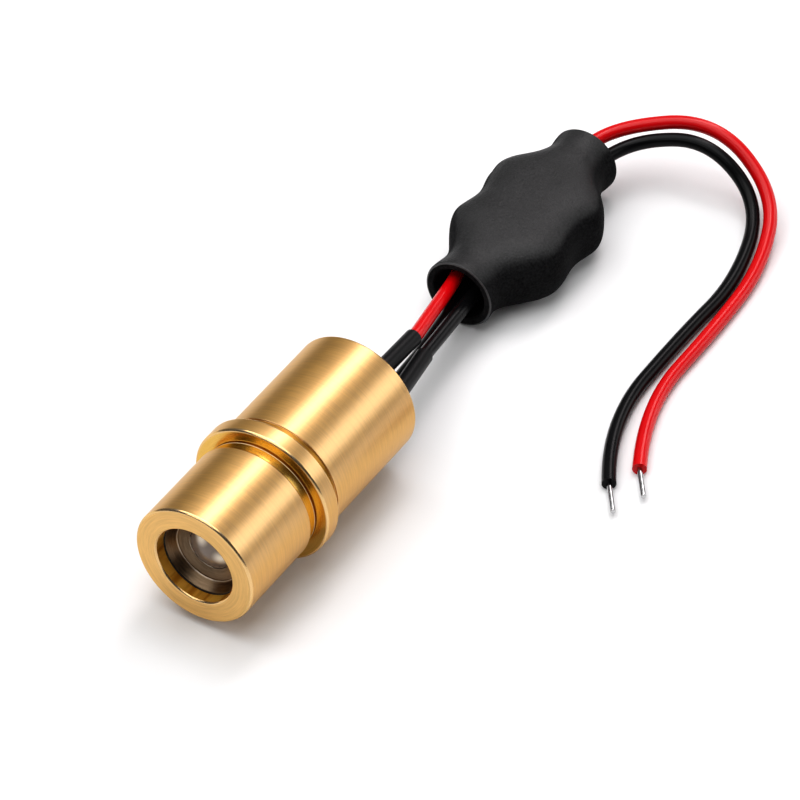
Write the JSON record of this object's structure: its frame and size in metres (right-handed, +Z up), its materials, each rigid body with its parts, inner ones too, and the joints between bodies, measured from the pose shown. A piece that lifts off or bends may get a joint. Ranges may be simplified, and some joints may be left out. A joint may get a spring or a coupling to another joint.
{
  "type": "laser diode module",
  "caption": "Brass laser diode module: turned barrel with a flange and a recessed lens, wired to a shrink-sleeved driver board with red and black supply leads.",
  "frame": {"origin": "centre of the flange's front face, on the optical axis", "axes": "-Y along the beam, +Y towards the driver and the leads, +Z up from the table the module lies on"},
  "size_m": [0.0309, 0.0746, 0.0134],
  "materials": {
    "brass": "satin turned",
    "seal_rubber": "matt",
    "cell_bronze": "dark anodised, turned",
    "lens_glass": "polished, coated",
    "spring_steel": "bright drawn",
    "diode_steel": "plated",
    "pin_gold": "plated",
    "solder": "bright",
    "potting": "cast, slightly glossy",
    "shrink_black": "satin shrunk tube",
    "red_pvc": "smooth extruded",
    "black_pvc": "smooth extruded",
    "tinned_copper": "bright tinned",
    "board_green": "solder resist",
    "chip_black": "moulded",
    "capacitor_ochre": "moulded",
    "trimmer_blue": "moulded",
    "resistor_ceramic": "glazed"
  },
  "bodies": {
    "root": {"housing": "brass", "lens_seal": "seal_rubber", "lens_cell": "cell_bronze", "lens": "lens_glass", "lens_ring": "cell_bronze", "lens_spring": "spring_steel", "diode_header": "diode_steel", "diode_cap": "diode_steel", "diode_window": "lens_glass", "diode_pins": "pin_gold", "diode_clamp": "brass", "pin_solder": "solder", "rear_potting": "potting", "red_wire": "red_pvc", "black_wire": "black_pvc", "sense_wire": "black_pvc", "red_sleeve": "shrink_black", "black_sleeve": "shrink_black", "driver_sleeve": "shrink_black", "driver_board": "board_green", "driver_ic": "chip_black", "ic_leads": "tinned_copper", "driver_capacitor": "capacitor_ochre", "driver_trimmer": "trimmer_blue", "chip_resistors": "resistor_ceramic", "pad_solder": "solder", "red_lead": "red_pvc", "black_lead": "black_pvc", "red_tip": "tinned_copper", "black_tip": "tinned_copper"}
  },
  "joints": []
}
